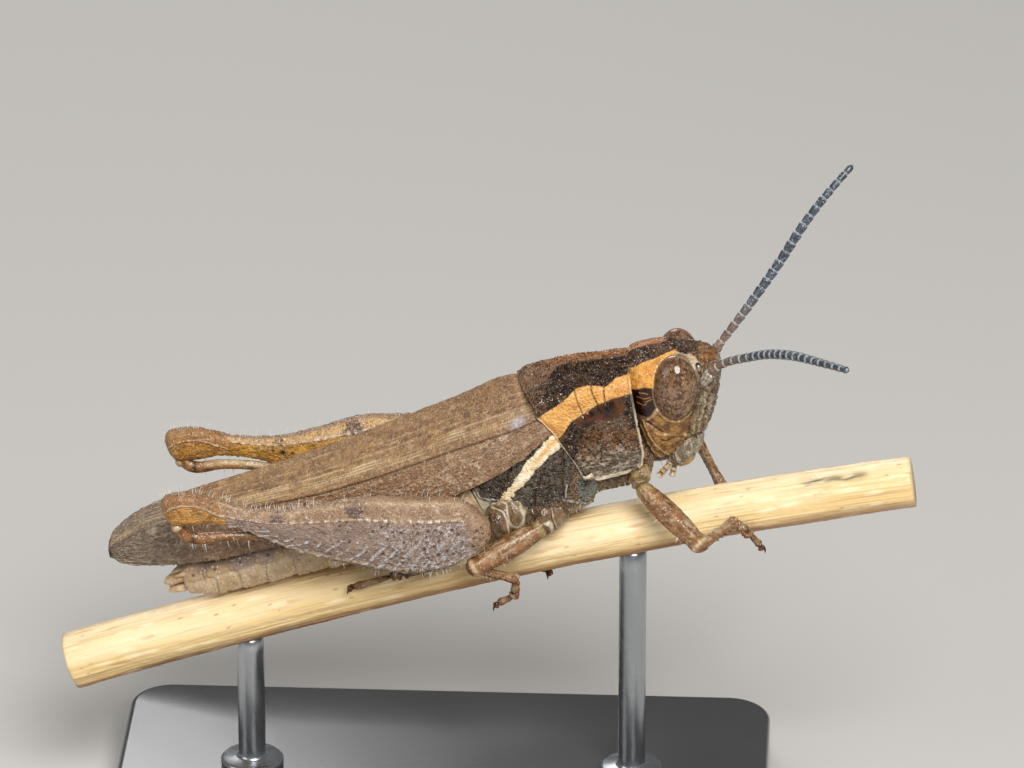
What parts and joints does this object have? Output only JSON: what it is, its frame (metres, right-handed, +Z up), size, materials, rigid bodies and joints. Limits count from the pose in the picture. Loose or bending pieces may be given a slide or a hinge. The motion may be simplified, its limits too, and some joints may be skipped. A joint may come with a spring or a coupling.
{
  "type": "grasshopper",
  "caption": "Life-size still model of a short-horned grasshopper gripping a cut length of dry stem, on a flat base with rods.",
  "frame": {"origin": "centre of the stand base's underside, on the floor", "axes": "+X towards the head along the base's length, +Y towards the animal's left, +Z up; the body leans nose up by 15 degrees along the stem"},
  "size_m": [0.0312, 0.013, 0.0246],
  "materials": {
    "face": "satin, olive-brown chitin with pale wrinkles",
    "eye": "glossy, brown mottled compound eye",
    "feeler": "satin slate with pale rings",
    "shell": "satin, granular brown-black chitin with a pale stripe",
    "wing": "dull taupe wing membrane with raised veins",
    "belly": "satin cream chitin with grey mottling",
    "leg": "semi-gloss amber chitin with pale ridges",
    "straw": "dull fibrous dry grass stem",
    "stand_plate": "satin warm white base",
    "stand_steel": "bright brushed steel rod"
  },
  "bodies": {
    "root": {"head": "face", "clypeus_labrum": "face", "mandible_right": "face", "mandible_left": "face", "palps_right": "face", "palps_left": "face", "eye_right": "eye", "eye_left": "eye", "antenna_right": "feeler", "antenna_left": "feeler", "pronotum": "shell", "thorax": "shell", "tegmen_right": "wing", "tegmen_left": "wing", "hindwings_folded": "wing", "abdomen_front": "belly", "abdomen_middle": "belly", "abdomen_rear": "belly", "abdomen_tip": "belly", "fore_right_coxa": "leg", "fore_right_femur": "leg", "fore_right_tibia": "leg", "fore_right_tarsus": "leg", "fore_left_coxa": "leg", "fore_left_femur": "leg", "fore_left_tibia": "leg", "fore_left_tarsus": "leg", "middle_right_coxa": "leg", "middle_right_femur": "leg", "middle_right_tibia": "leg", "middle_right_tarsus": "leg", "middle_left_coxa": "leg", "middle_left_femur": "leg", "middle_left_tibia": "leg", "middle_left_tarsus": "leg", "hind_coxa_right": "leg", "hind_coxa_left": "leg", "hind_femur_right": "leg", "hind_femur_left": "leg", "hind_tibia_right": "leg", "hind_tibia_left": "leg", "hind_tarsus_right": "leg", "hind_tarsus_left": "leg", "perch_stem": "straw", "stand_base": "stand_plate", "stand_rod_rear": "stand_steel", "stand_rod_front": "stand_steel"}
  },
  "joints": []
}
